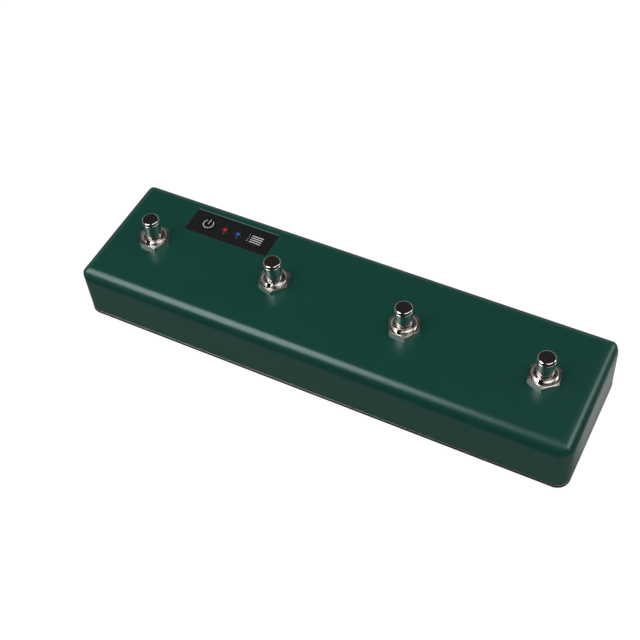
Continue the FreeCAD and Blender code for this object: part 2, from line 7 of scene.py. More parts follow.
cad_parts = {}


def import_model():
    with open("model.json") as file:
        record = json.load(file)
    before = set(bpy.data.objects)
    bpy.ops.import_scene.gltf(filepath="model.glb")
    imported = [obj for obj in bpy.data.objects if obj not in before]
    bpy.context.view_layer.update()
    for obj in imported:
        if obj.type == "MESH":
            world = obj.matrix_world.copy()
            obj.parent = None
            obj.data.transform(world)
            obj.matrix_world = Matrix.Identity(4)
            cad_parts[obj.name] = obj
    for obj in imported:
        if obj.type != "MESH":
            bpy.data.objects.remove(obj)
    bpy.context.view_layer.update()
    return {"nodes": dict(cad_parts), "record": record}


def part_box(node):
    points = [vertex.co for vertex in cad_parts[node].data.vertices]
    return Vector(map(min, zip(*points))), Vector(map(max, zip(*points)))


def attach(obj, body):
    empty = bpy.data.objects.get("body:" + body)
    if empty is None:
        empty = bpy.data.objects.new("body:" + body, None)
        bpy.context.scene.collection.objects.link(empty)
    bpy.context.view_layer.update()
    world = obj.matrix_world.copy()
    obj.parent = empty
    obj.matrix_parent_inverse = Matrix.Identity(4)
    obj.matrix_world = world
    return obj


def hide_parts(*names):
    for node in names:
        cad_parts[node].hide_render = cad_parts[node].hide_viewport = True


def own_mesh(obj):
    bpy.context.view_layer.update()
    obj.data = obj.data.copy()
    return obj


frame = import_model()

# Lengths are in metres and turns in degrees. X runs along the casing, Y towards its rear and Z up.
mm = 0.001
weld_distance = 1e-7

# Cover
corner_radius = 6.2 * mm
corner_steps = 14
top_corner_radius = 0.3 * mm
corner_tightening = 3.2
top_edge_radius = 6.0 * mm
rim_chamfer = 0.2 * mm
wall = 2.2 * mm
inner_edge = 3.8 * mm
edge_softness = 0.22 * mm
overcut = 1.0 * mm
label_clearance = 0.1 * mm
pocket_corner_radius = 1.0 * mm
pocket_rim_width = 0.55 * mm
pocket_rim_drop = 0.28 * mm
panel_hole_radius = 6.15 * mm
lamp_pipe_radius = 1.5 * mm
lamp_dome_radius = 2.4 * mm
lamp_dome_height = 0.35 * mm
lens_play = 0.03 * mm
key_clearance = 0.15 * mm
key_flange_overlap = 0.8 * mm
key_flange_thickness = 1.0 * mm
key_edge = 0.25 * mm
mode_key_corner_radius = 1.2 * mm
port_play = 0.3 * mm
port_end_share = 0.4999

# Foot switches
switch_count = 4
bushing_radius = 6.0 * mm
bushing_rim = ((0.0, 0.62 * mm), (0.10 * mm, 0.50 * mm), (0.55 * mm, 0.24 * mm), (1.0 * mm, 0.06 * mm),
               (1.4 * mm, 0.0))
thread_pitch = 0.75 * mm
thread_depth = 0.34 * mm
nut_across_flats = 14.0 * mm
nut_crown_radius = 6.75 * mm
nut_crown_slope = 28
nut_bore_radius = 6.05 * mm
nut_mouth = 0.35 * mm
nut_foot_inset = 0.35 * mm
nut_foot_height = 0.4 * mm
nut_turns = (0.0, 43.5, 55.6, 39.5)
flange_side = 16.5 * mm
flange_corner = 1.0 * mm
flange_thickness = 1.2 * mm
keyway_width = 2.05 * mm
keyway_depth = 1.5 * mm
bore_radius = 4.12 * mm
mouth_radius = 4.4 * mm
mouth_depth = 0.4 * mm
mouth_curve = 0.12 * mm
shaft_radius = 4.05 * mm
head_radius = 4.25 * mm
head_dish = ((2.6 * mm, 0.012 * mm), (1.4 * mm, 0.022 * mm), (0.4 * mm, 0.026 * mm))
rim_radius = 0.98 * mm
rim_step = 0.03 * mm
rim_step_drop = 1.15 * mm
groove_depth = 0.18 * mm
groove_high_drop = 1.30 * mm
groove_low_drop = 1.62 * mm
bead_radius = 0.24 * mm
bead_drop = 2.0 * mm
neck_drop = 2.40 * mm
collar_radius = 5.7 * mm
collar_thickness = 1.5 * mm
stem_radius = 2.0 * mm
peg_radius = 1.0 * mm
stop_gap = 0.1 * mm
spring_radius = 5.2 * mm
spring_wire = 0.42 * mm
spring_turns = 5.5

# Underside and charging port
base_proud = 0.12 * mm
base_bare = 0.25 * mm
foot_radius = 6.0 * mm
foot_edge = ((1.5 * mm, 0.15 * mm), (1.3 * mm, 0.0), (0.75 * mm, 0.0), (0.5 * mm, 0.08 * mm),
             (0.36 * mm, 0.25 * mm))
screw_inset = 4.2 * mm
screw_turn = 37
sink_radius = 2.87 * mm
screw_hole_radius = 1.7 * mm
screw_head_radius = 2.8 * mm
screw_head_chamfer = 0.12 * mm
screw_head_edge = 0.1 * mm
screw_recess_length = 3.1 * mm
screw_recess_width = 0.75 * mm
screw_recess_depth = 1.1 * mm
base_screw_radius = 1.5 * mm
port_wall = 0.3 * mm
port_lip_inset = 0.07 * mm
port_lip_depth = 0.08 * mm
port_flare = 0.05 * mm
port_flare_depth = 0.1 * mm
port_room = 6.2 * mm
tongue_gap = 0.02 * mm
tongue_length = 5.0 * mm
tongue_width = 6.6 * mm
tongue_thickness = 0.7 * mm
pad_count = 12
pad_pitch = 0.5 * mm
pad_width = 0.26 * mm
pad_thickness = 0.06 * mm
pad_lift = 0.01 * mm
pad_start = 1.2 * mm
pad_end = 0.6 * mm

case_low, case_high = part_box("top_case")
label_low, label_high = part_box("control_label")
panel_under = case_high.z - wall
nut_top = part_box("nut_1")[1].z
rim_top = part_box("bushing_1")[1].z
flange_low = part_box("bushing_1")[0].z


def middle(name):
    """The centre of a node's box."""
    low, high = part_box(name)
    return (low + high) / 2


switch_places = [middle(f"bushing_{number}").x for number in range(1, switch_count + 1)]


# Mesh helpers

def outline(length, width, radius, steps=8):
    """The corners of a rectangle with round corners, about the origin."""
    corners = []
    for quarter, (a, b) in enumerate(((1, 1), (-1, 1), (-1, -1), (1, -1))):
        for step in range(steps + 1):
            angle = math.pi / 2 * (quarter + step / steps)
            corners.append((a * (length / 2 - radius) + radius * math.cos(angle),
                            b * (width / 2 - radius) + radius * math.sin(angle)))
    return corners


def circle(radius, sides):
    """The corners of a regular polygon, about the origin."""
    angles = [2 * math.pi * side / sides for side in range(sides)]
    return [(radius * math.cos(a), radius * math.sin(a)) for a in angles]


def quarter_round(radius, steps):
    """Inset and drop of the points of a rounded upper edge, from its side to its top."""
    angles = [math.pi / 2 * step / steps for step in range(1, steps + 1)]
    return [(radius * (1 - math.cos(angle)), radius * (1 - math.sin(angle))) for angle in angles]


def level(corners, x, y, z):
    """Corners laid flat about x, y at the height z."""
    return [(x + a, y + b, z) for a, b in corners]


def upright(corners, x, y, z):
    """Corners that face along Y, about x, z at the depth y."""
    return [(x + a, y, z + b) for a, b in corners]


def placed(name, mesh):
    """A piece with this mesh, in the scene."""
    piece = bpy.data.objects.new(name, mesh)
    bpy.context.scene.collection.objects.link(piece)
    return piece


def skin(name, rings):
    """A closed mesh through a row of rings that all have the same number of corners."""
    count = len(rings[0])
    points = [corner for ring in rings for corner in ring]
    faces = [tuple(range(count)), tuple(len(points) - count + i for i in range(count))]
    for row in range(len(rings) - 1):
        low = row * count
        for i in range(count):
            after = (i + 1) % count
            faces.append((low + i, low + after, low + count + after, low + count + i))
    mesh = bpy.data.meshes.new(name)
    mesh.from_pydata(points, [], faces)
    body = bmesh.new()
    body.from_mesh(mesh)
    bmesh.ops.remove_doubles(body, verts=body.verts, dist=weld_distance)
    bmesh.ops.recalc_face_normals(body, faces=body.faces)
    body.to_mesh(mesh)
    body.free()
    return placed(name, mesh)


def lathe(name, x, y, profile, sides=96):
    """A round body about the upright through x, y, from (radius, height) pairs."""
    return skin(name, [level(circle(radius, sides), x, y, z) for radius, z in profile])


def drill(x, y, radius, z0, z1, sides=96):
    """A round tool that cuts a hole from z0 to z1."""
    return lathe("hole", x, y, [(radius, z0), (radius, z1)], sides)


def rounded_block(name, x, y, length, width, z0, z1, radius, steps=8):
    """A plate with round corners."""
    corners = outline(length, width, radius, steps)
    return skin(name, [level(corners, x, y, z) for z in (z0, z1)])


def block(name, x0, x1, y0, y1, z0, z1):
    """A rectangular body between its limits."""
    corners = [(x0, y0), (x1, y0), (x1, y1), (x0, y1)]
    return skin(name, [level(corners, 0, 0, z) for z in (z0, z1)])


def settle(piece):
    """Makes what the modifiers give the piece's own mesh."""
    graph = bpy.context.evaluated_depsgraph_get()
    mesh = bpy.data.meshes.new_from_object(piece.evaluated_get(graph))
    piece.modifiers.clear()
    piece.data = mesh
    return piece


def combine(piece, tool, operation="DIFFERENCE"):
    """Cuts the tool from the piece, or joins or intersects the two, and removes the tool."""
    modifier = piece.modifiers.new("combine", "BOOLEAN")
    modifier.operation = operation
    modifier.solver = "EXACT"
    modifier.object = tool
    settle(piece)
    bpy.data.objects.remove(tool)
    return piece


def soften(piece, width, angle=40, segments=3):
    """Rounds the edges that are sharper than the angle."""
    bevel = piece.modifiers.new("soften", "BEVEL")
    bevel.width = width
    bevel.segments = segments
    bevel.limit_method = "ANGLE"
    bevel.angle_limit = math.radians(angle)
    bevel.use_clamp_overlap = True
    return settle(piece)


def shade(piece, angle=30):
    """Smooth shading, with the flat faces kept flat."""
    for polygon in piece.data.polygons:
        polygon.use_smooth = True
    piece.data.set_sharp_from_angle(angle=math.radians(angle))
    weighted = piece.modifiers.new("weighted", "WEIGHTED_NORMAL")
    weighted.keep_sharp = True
    weighted.weight = 50
    return piece


def join(name, pieces):
    """One piece that holds the meshes of several."""
    body = bmesh.new()
    for piece in pieces:
        body.from_mesh(piece.data)
        bpy.data.objects.remove(piece)
    mesh = bpy.data.meshes.new(name)
    body.to_mesh(mesh)
    body.free()
    return placed(name, mesh)


def copy_of(piece, name, x, turn=0.0):
    """A copy of a piece that was made about the origin, turned and set at x."""
    mesh = piece.data.copy()
    mesh.transform(Matrix.Translation((x, 0, 0)) @ Matrix.Rotation(math.radians(turn), 4, "Z"))
    return placed(name, mesh)


def dress(piece, body, slot, *replaced):
    """Gives a finished piece its shading, material and body, and hides the nodes that it stands for."""
    shade(piece)
    piece.data.materials.clear()
    piece.data.materials.append(materials[slot])
    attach(piece, body)
    if replaced:
        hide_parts(*replaced)
    return piece


# Materials

def node(tree, kind, inputs=None, **settings):
    """A shader node; each input is a value or the socket that feeds it."""
    made = tree.nodes.new(kind)
    for key, value in settings.items():
        setattr(made, key, value)
    for key, value in (inputs or {}).items():
        if isinstance(value, bpy.types.NodeSocket):
            tree.links.new(value, made.inputs[key])
        else:
            made.inputs[key].default_value = value
    return made


def blank(name, **inputs):
    """A material with one Principled shader; returns it with its tree, shader and place in metres."""
    material = bpy.data.materials.new(name)
    material.use_nodes = True
    tree = material.node_tree
    shader = tree.nodes["Principled BSDF"]
    for key, value in inputs.items():
        shader.inputs[key.replace("_", " ")].default_value = value
    place = node(tree, "ShaderNodeTexCoord").outputs["Object"]
    return material, tree, shader, place


def noise(tree, place, grain, detail=3.0):
    """Noise whose lumps are about grain metres wide."""
    made = node(tree, "ShaderNodeTexNoise", {"Vector": place, "Scale": 1 / grain, "Detail": detail})
    return made.outputs["Fac"]


def between(tree, factor, low, high, start=0.3, end=0.7):
    """Runs from low to high while the factor goes from start to end, and stays level outside."""
    return node(tree, "ShaderNodeMapRange", {"Value": factor, "From Min": start, "From Max": end,
                                             "To Min": low, "To Max": high}).outputs["Result"]


def mixed(tree, factor, first, second):
    """A colour that the factor leads from the first to the second."""
    mix = node(tree, "ShaderNodeMix", data_type="RGBA")
    for socket, value in ((mix.inputs[0], factor), (mix.inputs[6], first), (mix.inputs[7], second)):
        if isinstance(value, bpy.types.NodeSocket):
            tree.links.new(value, socket)
        else:
            socket.default_value = value
    return mix.outputs[2]


def grey(value):
    """A neutral colour."""
    return (value, value, value, 1)


def calculated(tree, operation, first, second):
    """The result of a sum on two numbers."""
    return node(tree, "ShaderNodeMath", {0: first, 1: second}, operation=operation).outputs[0]


def vector(tree, operation, first, second=(0, 0, 0)):
    """The Vector and Value outputs of a sum on one or two vectors."""
    return node(tree, "ShaderNodeVectorMath", {0: first, 1: second}, operation=operation).outputs


def split(tree, socket):
    """The X, Y and Z outputs of a vector."""
    return node(tree, "ShaderNodeSeparateXYZ", {0: socket}).outputs


def shifted(colour, share):
    """A colour whose channels are all multiplied by the share."""
    return tuple(min(channel * share, 1) for channel in colour[:3]) + (1,)


def bump(tree, shader, height, distance):
    """Relief of a depth in metres on the shader's surface."""
    made = node(tree, "ShaderNodeBump", {"Height": height, "Distance": distance, "Strength": 1.0})
    tree.links.new(made.outputs["Normal"], shader.inputs["Normal"])


def mottled(name, colour, roughness, metallic=0.0, grain=0.5 * mm, spread=0.12, relief=0.01 * mm):
    """A material whose colour, gloss and relief vary a little over the grain."""
    material, tree, shader, place = blank(name, Metallic=metallic)
    fine = noise(tree, place, grain)
    broad = noise(tree, place, 40 * grain)
    colour = (*colour, 1)
    tint = mixed(tree, broad, shifted(colour, 1 - spread), shifted(colour, 1 + spread))
    gloss = between(tree, fine, low=0.9 * roughness, high=min(1.15 * roughness, 1))
    tree.links.new(tint, shader.inputs["Base Color"])
    tree.links.new(gloss, shader.inputs["Roughness"])
    bump(tree, shader, fine, relief)
    return material


def green_coat():
    """Satin powder coat: a fine orange peel and slight mottling."""
    deep = (0.0010, 0.0474, 0.0334, 1)
    light = (0.0018, 0.0530, 0.0377, 1)
    material, tree, shader, place = blank("green_coat", IOR=1.75, Specular_Tint=(0.79, 1.0, 0.96, 1))
    peel = noise(tree, place, grain=0.7 * mm, detail=2.0)
    cloud = noise(tree, place, grain=18 * mm, detail=2.0)
    tree.links.new(mixed(tree, cloud, deep, light), shader.inputs["Base Color"])
    tree.links.new(between(tree, peel, low=0.28, high=0.32), shader.inputs["Roughness"])
    bump(tree, shader, peel, distance=0.03 * mm)
    return material


def polished(name, colour, roughness, scratch):
    """Plated metal with faint marks of turning, which run round its upright axis."""
    material, tree, shader, place = blank(name, Metallic=1.0)
    flattening = (1.0, 1.0, 9.0)
    turned = node(tree, "ShaderNodeMapping", {"Vector": place, "Scale": flattening}).outputs["Vector"]
    marks = noise(tree, turned, scratch)
    broad = noise(tree, place, grain=4 * mm)
    colour = (*colour, 1)
    tint = mixed(tree, broad, shifted(colour, 0.94), shifted(colour, 1.04))
    gloss = between(tree, broad, low=0.8 * roughness, high=1.25 * roughness)
    tree.links.new(tint, shader.inputs["Base Color"])
    tree.links.new(gloss, shader.inputs["Roughness"])
    bump(tree, shader, marks, distance=0.0006 * mm)
    return material


def lamp_lens(name, centre, dark, light, strength):
    """Smoked plastic over a lamp whose light shows as a soft spot at the middle."""
    spot_fade = (0.75 * mm, 1.45 * mm)
    core_fade = (0.0, 1.1 * mm)
    material, tree, shader, place = blank(name, Roughness=0.22, IOR=1.5)
    offset = vector(tree, "ADD", place, (-centre.x, -centre.y, -label_high.z))["Vector"]
    distance = vector(tree, "LENGTH", offset)["Value"]
    spot = between(tree, distance, 1.0, 0.0, *spot_fade)
    core = between(tree, distance, 1.0, 0.0, *core_fade)
    tree.links.new(mixed(tree, spot, shifted(dark, 0.9), dark), shader.inputs["Base Color"])
    tree.links.new(mixed(tree, core, light, shifted(light, 1.6)), shader.inputs["Emission Color"])
    tree.links.new(calculated(tree, "MULTIPLY", spot, strength), shader.inputs["Emission Strength"])
    bump(tree, shader, noise(tree, place, grain=0.2 * mm), distance=0.002 * mm)
    return material


def board_green():
    """Solder mask over fine tracks."""
    mask = (0.004, 0.07, 0.025, 1)
    paler_mask = (0.005, 0.085, 0.03, 1)
    track = (0.012, 0.13, 0.05, 1)
    material, tree, shader, place = blank("board_green", Roughness=0.35)
    pattern = node(tree, "ShaderNodeTexBrick", {"Vector": place, "Scale": 260.0, "Mortar Size": 0.12,
                                                "Color1": mask, "Color2": paler_mask, "Mortar": track})
    tree.links.new(pattern.outputs["Color"], shader.inputs["Base Color"])
    bump(tree, shader, pattern.outputs["Fac"], distance=0.02 * mm)
    return material


red_lamp = middle("red_lamp_lens")
blue_lamp = middle("blue_lamp_lens")
panel_black = (0.0085, 0.0085, 0.0095)
finishes = {
    "black_coat": dict(colour=(0.012, 0.012, 0.013), roughness=0.30, relief=0.012 * mm),
    "steel": dict(colour=(0.55, 0.55, 0.56), roughness=0.32, metallic=1.0, grain=0.3 * mm,
                  relief=0.004 * mm),
    "black_screw": dict(colour=(0.045, 0.045, 0.048), roughness=0.34, metallic=0.8, grain=0.2 * mm),
    "brass": dict(colour=(0.70, 0.50, 0.20), roughness=0.30, metallic=1.0, grain=0.2 * mm,
                  relief=0.003 * mm),
    "rubber": dict(colour=(0.018, 0.018, 0.019), roughness=0.75, grain=0.35 * mm, relief=0.03 * mm),
    "overlay": dict(colour=panel_black, roughness=0.36, grain=0.18 * mm, relief=0.004 * mm),
    "key_black": dict(colour=panel_black, roughness=0.36, grain=0.18 * mm, relief=0.004 * mm),
    "housing_black": dict(colour=(0.02, 0.02, 0.022), roughness=0.5, grain=0.4 * mm),
    "phenolic": dict(colour=(0.18, 0.09, 0.035), roughness=0.5, grain=0.8 * mm, spread=0.25),
    "chip_black": dict(colour=(0.02, 0.02, 0.02), roughness=0.45, grain=0.15 * mm),
    "led_white": dict(colour=(0.62, 0.62, 0.60), roughness=0.4, grain=0.2 * mm, spread=0.04),
    "tin": dict(colour=(0.62, 0.62, 0.62), roughness=0.28, metallic=1.0, grain=0.6 * mm,
                relief=0.004 * mm),
    "socket_white": dict(colour=(0.72, 0.70, 0.64), roughness=0.5, grain=0.4 * mm, spread=0.05),
    "pouch": dict(colour=(0.5, 0.5, 0.52), roughness=0.3, metallic=0.6, grain=1.2 * mm,
                  relief=0.05 * mm),
    "foam": dict(colour=(0.05, 0.05, 0.055), roughness=0.9, grain=0.6 * mm, relief=0.15 * mm),
    "lead_black": dict(colour=(0.02, 0.02, 0.02), roughness=0.5, grain=0.4 * mm),
}
materials = {name: mottled(name, **finish) for name, finish in finishes.items()}
materials["green_coat"] = green_coat()
materials["board_green"] = board_green()
materials["chrome"] = polished("chrome", (0.84, 0.79, 0.77), roughness=0.07, scratch=0.12 * mm)
materials["nickel"] = polished("nickel", (0.80, 0.76, 0.71), roughness=0.24, scratch=0.10 * mm)
materials["red_lens"] = lamp_lens("red_lens", red_lamp, grey(0.012), (0.56, 0.02, 0.03, 1), strength=0.58)
materials["blue_lens"] = lamp_lens("blue_lens", blue_lamp, grey(0.012), (0.03, 0.12, 0.50, 1), strength=0.58)


def dress_frame():
    """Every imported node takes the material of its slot."""
    for part in frame["record"]["subparts"]:
        piece = frame["nodes"][part["node"]]
        piece.data.materials.clear()
        piece.data.materials.append(materials[part["material_slot"]])


# Cover

def case_ring(z, inset, radius):
    """The outline of the cover at a height, drawn in by the inset."""
    length = case_high.x - case_low.x - 2 * inset
    width = case_high.y - case_low.y - 2 * inset
    return level(outline(length, width, radius, corner_steps), 0, 0, z)


def case_block():
    """The outside of the cover: a chamfered rim and a rolled upper edge whose corners tighten upwards."""
    rings = [case_ring(case_low.z, rim_chamfer, corner_radius - rim_chamfer),
             case_ring(case_low.z + rim_chamfer, 0, corner_radius)]
    steps = 18
    for step in range(steps + 1):
        angle = math.pi / 2 * step / steps
        inset = top_edge_radius * (1 - math.cos(angle))
        drop = top_edge_radius * (1 - math.sin(angle))
        tightened = math.cos(angle) ** corner_tightening
        radius = top_corner_radius + (corner_radius - top_corner_radius) * tightened
        rings.append(case_ring(case_high.z - drop, inset, radius))
    return skin("case_cover", rings)


def case_room():
    """The hollow of the cover, which is open below."""
    radius = corner_radius - wall
    rings = [case_ring(z, wall, radius) for z in (case_low.z - overcut, panel_under - inner_edge)]
    for inset, drop in quarter_round(inner_edge, 5):
        rings.append(case_ring(panel_under - drop, wall + inset, radius - inset))
    return skin("room", rings)


def power_key_place():
    """The centre of the round power key and its radius above the flange."""
    low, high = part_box("power_button")
    return (low.x + high.x) / 2, (low.y + high.y) / 2, (high.x - low.x) / 2 - key_flange_overlap


def mode_key_corners(growth):
    """The outline of the mode key above its flange, larger all round by the growth."""
    low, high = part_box("mode_button")
    length = high.x - low.x + 2 * (growth - key_flange_overlap)
    width = high.y - low.y + 2 * (growth - key_flange_overlap)
    return outline(length, width, mode_key_corner_radius + growth)


def key_tools(z0, z1):
    """What the keys pass through, for the cover and the overlay."""
    x, y, radius = power_key_place()
    place = middle("mode_button")
    corners = mode_key_corners(key_clearance)
    mode = skin("mode_tool", [level(corners, place.x, place.y, z) for z in (z0, z1)])
    return [drill(x, y, radius + key_clearance, z0, z1), mode]


def port_corners(growth):
    """The outline of the charging port, with its ends fully round, larger all round by the growth."""
    low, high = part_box("usb_port")
    width = high.x - low.x + 2 * growth
    height = high.z - low.z + 2 * growth
    return outline(width, height, port_end_share * height, 12)


def pocket_tool(high):
    """The pocket of the overlay, which flares at its rim."""
    centre = (label_low + label_high) / 2
    length = label_high.x - label_low.x + 2 * label_clearance
    width = label_high.y - label_low.y + 2 * label_clearance
    rings = []
    for growth, z in ((0, label_low.z), (0, case_high.z - pocket_rim_drop),
                      (pocket_rim_width, case_high.z), (pocket_rim_width, high)):
        corners = outline(length + 2 * growth, width + 2 * growth, pocket_corner_radius + growth)
        rings.append(level(corners, centre.x, centre.y, z))
    return skin("pocket", rings)


def cover():
    """The hollow casting with its pocket and its openings."""
    piece = combine(case_block(), case_room())
    high = case_high.z + overcut
    deep = panel_under - overcut
    tools = [pocket_tool(high)] + key_tools(deep, high)
    tools += [drill(x, 0, panel_hole_radius, deep, high) for x in switch_places]
    tools += [drill(pipe.x, pipe.y, lamp_pipe_radius, deep, high, 32) for pipe in (red_lamp, blue_lamp)]
    port = middle("usb_port")
    slot = [upright(port_corners(port_play), port.x, y, port.z)
            for y in (case_high.y - 2 * wall, case_high.y + overcut)]
    tools.append(skin("slot", slot))
    for tool in tools:
        combine(piece, tool)
    soften(piece, edge_softness, angle=50)
    return dress(piece, "casing", "green_coat", "top_case")


def overlay():
    """The printed film in the pocket."""
    centre = (label_low + label_high) / 2
    piece = rounded_block("overlay_film", centre.x, centre.y, label_high.x - label_low.x,
                          label_high.y - label_low.y, label_low.z, label_high.z, pocket_corner_radius)
    deep = label_low.z - overcut
    high = label_high.z + overcut
    tools = key_tools(deep, high)
    tools += [drill(dome.x, dome.y, lamp_dome_radius + lens_play, deep, high, 64)
              for dome in (red_lamp, blue_lamp)]
    for tool in tools:
        combine(piece, tool)
    soften(piece, width=0.05 * mm, segments=2)
    return dress(piece, "casing", "overlay", "control_label")


# Keys, their symbols and the lamps

def power_key():
    """A round key on its flange."""
    x, y, radius = power_key_place()
    low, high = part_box("power_button")
    flange = low.z + key_flange_thickness
    wide = radius + key_flange_overlap
    profile = [(wide, low.z), (wide, flange), (radius, flange), (radius, high.z - key_edge)]
    profile += [(radius - inset, high.z - drop) for inset, drop in quarter_round(key_edge, 4)]
    return dress(lathe("power_key_cap", x, y, profile), "power_key", "key_black", "power_button")


def mode_key():
    """A rectangular key on its flange."""
    low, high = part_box("mode_button")
    place = middle("mode_button")
    flange = low.z + key_flange_thickness
    rows = [(key_flange_overlap, low.z), (key_flange_overlap, flange), (0, flange), (0, high.z - key_edge)]
    rows += [(-inset, high.z - drop) for inset, drop in quarter_round(key_edge, 4)]
    rings = [level(mode_key_corners(growth), place.x, place.y, z) for growth, z in rows]
    return dress(skin("mode_key_cap", rings), "mode_key", "key_black", "mode_button")


ink = 0.02 * mm
symbol_sink = 0.01 * mm


def power_symbol():
    """A ring open towards the rear with a bar in the opening."""
    x, y = power_key_place()[:2]
    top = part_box("power_button")[1].z
    outer = 2.75 * mm
    stroke = 0.34 * mm
    bar_start = 0.1 * mm
    bar_end = 2.95 * mm
    gap = math.radians(38)
    steps = 40
    angles = [math.pi / 2 + gap + (2 * math.pi - 2 * gap) * step / steps for step in range(steps + 1)]
    corners = [(outer * math.cos(a), outer * math.sin(a)) for a in angles]
    corners += [((outer - stroke) * math.cos(a), (outer - stroke) * math.sin(a)) for a in reversed(angles)]
    ring = skin("ring", [level(corners, x, y, z) for z in (top - symbol_sink, top + ink)])
    bar = block("bar", x - stroke / 2, x + stroke / 2, y + bar_start, y + bar_end,
                top - symbol_sink, top + ink)
    return dress(join("power_symbol", [ring, bar]), "power_key", "led_white")


def list_symbol():
    """Four rows, each a small point and a bar."""
    place = middle("mode_button")
    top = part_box("mode_button")[1].z
    left = place.x - 2.5 * mm
    length = 6.1 * mm
    point_x = place.x - 3.8 * mm
    first_y = place.y - 2.05 * mm
    pitch = 1.3 * mm
    bar_width = 0.43 * mm
    point_width = 0.34 * mm
    rows = 4
    marks = []
    for row in range(rows):
        y = first_y + row * pitch
        marks.append(block("bar", left, left + length, y - bar_width / 2, y + bar_width / 2,
                           top - symbol_sink, top + ink))
        marks.append(block("point", point_x - point_width / 2, point_x + point_width / 2,
                           y - point_width / 2, y + point_width / 2, top - symbol_sink, top + ink))
    return dress(join("list_symbol", marks), "mode_key", "led_white")


def lens(name, slot, node_name):
    """A low dome on its light pipe."""
    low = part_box(node_name)[0]
    place = middle(node_name)
    pipe = lamp_pipe_radius - lens_play
    flat = 0.05 * mm
    profile = [(pipe, low.z), (pipe, label_low.z), (lamp_dome_radius, label_low.z),
               (lamp_dome_radius, label_high.z)]
    steps = 10
    for step in range(1, steps):
        share = math.sin(math.pi / 2 * step / steps)
        radius = lamp_dome_radius * math.cos(math.pi / 2 * step / steps)
        profile.append((radius, label_high.z + lamp_dome_height * share))
    profile.append((flat, label_high.z + lamp_dome_height))
    return dress(lathe(name, place.x, place.y, profile, 64), "casing", slot, node_name)


# Foot switches

def bushing_pattern():
    """A threaded sleeve on a square flange, with a domed rim, a countersunk mouth and a keyway in front."""
    crest = bushing_radius
    root = bushing_radius - thread_depth
    flank = 0.30 * thread_pitch
    thread_end = rim_top - 0.5 * mm
    flange_top = flange_low + flange_thickness
    profile = [(crest, flange_low)]
    z = flange_top + thread_pitch
    while z < thread_end:
        profile += [(crest, z - flank), (root, z), (crest, z + flank)]
        z += thread_pitch
    profile += [(crest - inset, rim_top - drop) for inset, drop in bushing_rim]
    sleeve = lathe("bushing_pattern", 0, 0, profile, 128)
    flange = rounded_block("flange", 0, 0, flange_side, flange_side, flange_low, flange_top, flange_corner)
    combine(sleeve, flange, "UNION")
    bore = lathe("bore", 0, 0, [(bore_radius, flange_low - overcut), (bore_radius, rim_top - mouth_depth),
                                (mouth_radius - mouth_curve, rim_top - mouth_depth / 2),
                                (mouth_radius, rim_top), (mouth_radius, rim_top + overcut)], 128)
    combine(sleeve, bore)
    keyway = block("keyway", -keyway_width / 2, keyway_width / 2, -bushing_radius - overcut,
                   keyway_depth - bushing_radius, flange_top, rim_top + overcut)
    combine(sleeve, keyway)
    return sleeve


def nut_pattern():
    """A hex nut with a turned crown, a chamfered foot and a countersunk thread."""
    corner = nut_across_flats / math.sqrt(3)
    low = case_high.z
    body = skin("nut_pattern", [level(circle(corner, 6), 0, 0, z) for z in (low, nut_top)])
    drop = (corner - nut_crown_radius) * math.tan(math.radians(nut_crown_slope))
    past_corner = 0.05 * mm
    past_slope = 0.03 * mm
    past_face = 0.001 * mm
    turned = lathe("turned", 0, 0, [(corner - nut_foot_inset, low - past_face),
                                    (corner + past_corner, low + nut_foot_height),
                                    (corner + past_corner, nut_top - drop - past_slope),
                                    (nut_crown_radius, nut_top + past_face)], 192)
    combine(body, turned, "INTERSECT")
    bore = lathe("bore", 0, 0, [(nut_bore_radius, low - overcut), (nut_bore_radius, nut_top - nut_mouth),
                                (nut_bore_radius + nut_mouth, nut_top),
                                (nut_bore_radius + nut_mouth, nut_top + overcut)], 128)
    combine(body, bore)
    return soften(body, width=0.06 * mm, angle=25, segments=2)


def plunger_pattern():
    """A polished head with a shallow groove below its rim, a shaft, a collar, a stem and a peg."""
    low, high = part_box("plunger_1")
    bridge_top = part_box("bridge_1")[1].z
    collar_top = flange_low - stop_gap
    collar_low = collar_top - collar_thickness
    top = high.z
    profile = [(peg_radius, low.z), (peg_radius, bridge_top), (stem_radius, bridge_top),
               (stem_radius, collar_low), (collar_radius, collar_low), (collar_radius, collar_top),
               (shaft_radius, collar_top), (shaft_radius, top - neck_drop)]
    steps = 8
    for step in range(steps + 1):
        angle = math.pi * step / steps - math.pi / 2
        profile.append((head_radius - bead_radius + bead_radius * math.cos(angle),
                        top - bead_drop + bead_radius * math.sin(angle)))
    groove_radius = head_radius - groove_depth
    profile += [(groove_radius, top - groove_low_drop), (groove_radius, top - groove_high_drop),
                (head_radius - rim_step, top - rim_step_drop)]
    for step in range(steps + 1):
        angle = math.pi / 2 * step / steps
        profile.append((head_radius - rim_radius + rim_radius * math.cos(angle),
                        top - rim_radius + rim_radius * math.sin(angle)))
    profile += [(radius, top - drop) for radius, drop in head_dish]
    return lathe("plunger_pattern", 0, 0, profile, 128)


def coil(name, x, low, high, radius, wire, turns):
    """A round spring wire wound about the upright through x; its end turns lie nearly flat."""
    turn_steps = 36
    sides = 8
    steps = int(turns * turn_steps)
    around = [2 * math.pi * side / sides for side in range(sides)]
    up = Vector((0, 0, 1))
    rings = []
    for step in range(steps + 1):
        share = step / steps
        eased = share * share * (3 - 2 * share)
        angle = 2 * math.pi * turns * share
        z = low + wire + (high - low - 2 * wire) * eased
        out = Vector((math.cos(angle), math.sin(angle), 0))
        centre = Vector((x, 0, z)) + out * radius
        rings.append([centre + wire * (out * math.cos(a) + up * math.sin(a)) for a in around])
    return skin(name, rings)


